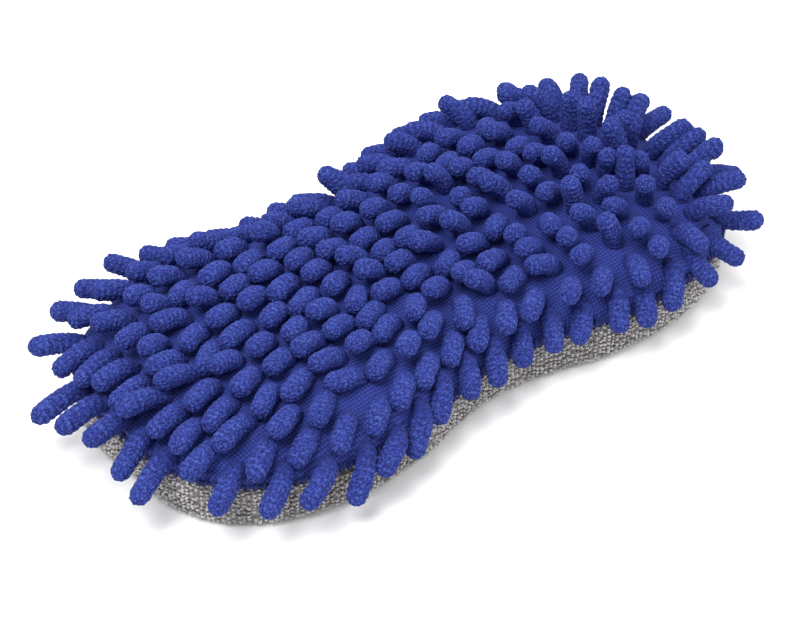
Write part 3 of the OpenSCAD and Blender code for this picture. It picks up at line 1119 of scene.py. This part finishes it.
WALE, COURSE = 1.62 * MM, 1.32 * MM
WALE_JITTER, COURSE_JITTER = 0.13, 0.18
LOOP_SIZE, LOOP_YARN = 1.05 * MM, 0.36 * MM
LOOP_FOOT = 0.15 * MM
wales = int(EDGE_LENGTH / WALE)
courses = int((WALL_TOP - FLOOR_ROOM) / COURSE)
at_share, at_height = np.meshgrid(shares(wales), shares(courses) + 0.5 / courses, indexing="ij")
at_share = (at_share + rng.normal(0, WALE_JITTER * WALE / EDGE_LENGTH, at_share.shape)).ravel()
at_height = np.clip(at_height + rng.normal(0, COURSE_JITTER / courses, at_height.shape), 0.02, 0.99).ravel()
tiny = 0.001
base = wall_point(at_share, at_height, LOOP_ROOM + LOOP_FOOT)
ahead, behind = (wall_point(at_share + step, at_height, LOOP_ROOM) for step in (tiny, -tiny))
above, below = (wall_point(at_share, at_height + step, LOOP_ROOM) for step in (20 * tiny, -20 * tiny))
sideways = unit(ahead - behind)
upwards = unit(above - below)
sizes = LOOP_SIZE * rng.uniform(0.75, 1.25, len(base)) * (0.35 + 0.65 * np.clip(at_height / 0.22, 0, 1))
loops("wall_loops", base, unit(np.cross(sideways, upwards)), sideways, sizes, 5, 5, LOOP_YARN)
print("loops on the wall:", len(base), "in", wales, "wales")

UNDER_PITCH = 2.05 * MM
UNDER_JITTER = 0.25 * MM
UNDER_SIZE, UNDER_YARN = 0.60 * MM, 0.30 * MM
EDGE_MARGIN, MOUTH_MARGIN = 4.2 * MM, 1.2 * MM
grid = np.meshgrid(*(np.arange(tray_low[k], tray_high[k], UNDER_PITCH) for k in (0, 1)))
spots = np.stack([axis.ravel() for axis in grid], -1)
spots += rng.normal(0, UNDER_JITTER, spots.shape)
edge_there = np.linalg.norm(edge_at(share_at(np.arctan2(spots[:, 1], spots[:, 0]))), axis=1)
from_mouth = spots - mouth[:2]
clear = np.linalg.norm(from_mouth, axis=1) > slot_reach(unit(from_mouth), MOUTH_MARGIN)
spots = spots[(np.linalg.norm(spots, axis=1) < edge_there - EDGE_MARGIN) & clear]
base = np.c_[spots, np.full(len(spots), FLOOR_ROOM + LOOP_FOOT)]
facing = rng.uniform(0, np.pi, len(spots))
along = np.stack([np.cos(facing), np.sin(facing), 0 * facing], -1)
sizes = np.full(len(spots), UNDER_SIZE)
loops("underside_loops", base, np.tile(DOWN, (len(spots), 1)), along, sizes, 4, 4, UNDER_YARN)
print("loops underneath:", len(spots))

# %% [markdown]
# ## Tubes along a path
# The hem, its overlock thread, the opening's binding and the elastic are all long round things that follow a
# closed path. One function sweeps them: it carries a circle along the path, may vary its radius from place to
# place, and notes how far along and round each point lies.

# %% Swept tubes


def swept(name, path, radius, sides, material, slot, replaces=(), stripes=1.0, ridge=None):
    """A tube along a closed path of points. ridge(along, around) gives a share to add to the radius."""
    ahead = unit(np.roll(path, -1, 0) - np.roll(path, 1, 0))
    side = unit(np.cross(ahead, [0.013, 0.017, 1.0]))
    other = np.cross(side, ahead)
    around = np.linspace(0, 2 * np.pi, sides, endpoint=False)
    gone = np.r_[0, np.cumsum(np.linalg.norm(np.diff(path, axis=0), axis=1))]
    swell_share = 1 + (ridge(gone[:, None], around[None]) if ridge else np.zeros((len(path), sides)))
    ring = side[:, None] * np.cos(around)[None, :, None] + other[:, None] * np.sin(around)[None, :, None]
    points = path[:, None] + ring * (radius * swell_share)[..., None]
    points = np.concatenate([points, points[:1]])
    gone = np.r_[gone, gone[-1] + np.linalg.norm(path[0] - path[-1])]
    marks = {"along": np.repeat(gone * stripes, sides), "around": np.tile(around, len(points))}
    grid_piece(name, points, material, slot, replaces, marks=marks)


# %% Hem and overlock
HEM_R = 0.85 * MM
HEM_OUT = 0.15 * MM
HEM_Z = SEAM_Z - 0.1 * MM
columns = shares(1400)
wobble = 0.12 * MM * np.sin(columns * 2 * np.pi * round(EDGE_LENGTH / PUCKER_PITCH))
hem_flat = edge_at(columns) + outward_at(columns) * (HEM_OUT + wobble)[:, None]
hem_path = np.c_[hem_flat, np.full(len(columns), HEM_Z)]
swept("seam_hem", hem_path, HEM_R, 10, face_cloth, "face_cloth")

WRAPS = round(EDGE_LENGTH / (2.5 * MM))
steps = shares(WRAPS * 12)
wrap = steps * 2 * np.pi * WRAPS
out = outward_at(steps)
WRAP_R = HEM_R + 0.28 * MM
thread_flat = edge_at(steps) + out * (HEM_OUT + np.cos(wrap) * WRAP_R)[:, None]
thread_path = np.c_[thread_flat, HEM_Z + np.sin(wrap) * WRAP_R * 1.5]
swept(
    "seam_overlock", thread_path, 0.33 * MM, 6, seam_thread, "seam_thread", replaces=("seam_stitching",),
    stripes=2 * np.pi / (1.1 * MM),
)

# %% [markdown]
# ## The hand opening
# The slot's edge is rolled over a flat tape with elastic inside. At rest the elastic has pulled the tape
# together, so it stands in fine gathers. Stitches along its outer edge hold it to the terry.

# %% Binding, elastic and stitches
elastic_low, elastic_high = box_of("elastic")
elastic_r = (elastic_high[2] - elastic_low[2]) / 2
binding_r = (binding_high[2] - binding_low[2]) / 2
path_r = mouth_r - binding_r


def slot_path(count):
    """The slot's path, evenly spaced: two half circles and the straight sides between them."""
    straight = 2 * mouth_half
    total = 2 * straight + 2 * np.pi * path_r
    gone = np.arange(count) / count * total
    points = []
    for g in gone:
        half, g = divmod(g, total / 2)
        sign = 1 if half == 0 else -1
        if g < straight:
            x, y = path_r, g - mouth_half
        else:
            a = (g - straight) / path_r
            x, y = path_r * math.cos(a), mouth_half + path_r * math.sin(a)
        points.append((mouth[0] + sign * x, mouth[1] + sign * y, mouth[2]))
    return np.array(points)


GATHER = 2 * np.pi / (2.6 * MM)


def gathers(along, around):
    folds = 0.07 * np.sin(along * GATHER + 0.9 * np.sin(2 * around))
    return folds + 0.02 * np.sin(along * GATHER * 2.3 + 3 * around)


swept(
    "gathered_binding", slot_path(900), binding_r * 0.95, 22, binding_tape, "binding",
    replaces=("opening_binding",), stripes=2 * np.pi / (2.0 * MM), ridge=gathers,
)


BRAID_PITCH = 1.6 * MM


def braid(along, around):
    return 0.05 * np.sin(along * 2 * np.pi / BRAID_PITCH + 4 * around)


swept(
    "elastic_cord", slot_path(700), elastic_r * 0.93, 16, elastic_braid, "elastic", replaces=("elastic",),
    stripes=2 * np.pi / BRAID_PITCH, ridge=braid,
)


def stitch_arcs(name, node, material, slot, radius, rise):
    """A low arched thread over each straight stitch of the frame's node, joined into one piece."""
    rings, sides, stripes = 9, 8, 18
    bend = np.linspace(0, np.pi, rings)
    turn = np.linspace(0, 2 * np.pi, sides, endpoint=False)
    points, faces, along = [], [], []
    for part in loose_parts(node):
        one, other, _ = long_axis(part)
        ahead = unit(other - one)
        side = unit(np.cross(ahead, DOWN))
        lower = np.cross(side, ahead)
        share = (1 - np.cos(bend)) / 2
        middle = one + (other - one) * share[:, None] - lower * (np.sin(bend) * rise)[:, None]
        ring = side * np.cos(turn)[:, None] + lower * np.sin(turn)[:, None]
        tube = middle[:, None] + ring[None] * radius * (0.55 + 0.45 * np.sin(bend))[:, None, None]
        faces.append(grid_quads(rings, sides) + len(points) * rings * sides)
        points.append(tube.reshape(-1, 3))
        along.append(np.repeat(share * stripes, sides))
    marks = {"along": np.concatenate(along), "around": np.tile(turn, rings * len(points))}
    quad_piece(name, np.concatenate(points), np.concatenate(faces), material, slot, (node,), marks=marks)


stitch_arcs("binding_stitches", "binding_stitching", binding_thread, "binding_thread", 0.38 * MM, 0.25 * MM)

# %% [markdown]
# ## Floor
# A single pale matt floor, wide enough that its edge is never seen.

# %% Floor
FLOOR = 3.0
floor = linked("floor", bpy.data.meshes.new("floor"))
corners = [(-FLOOR, -FLOOR, 0), (FLOOR, -FLOOR, 0), (FLOOR, FLOOR, 0), (-FLOOR, FLOOR, 0)]
floor.data.from_pydata(corners, [], [(0, 1, 2, 3)])
floor_paint, t, surface = new_material("floor_paint")
surface["Base Color"].default_value = (0.93, 0.93, 0.93, 1)
surface["Roughness"].default_value = 0.9
floor.data.materials.append(floor_paint)
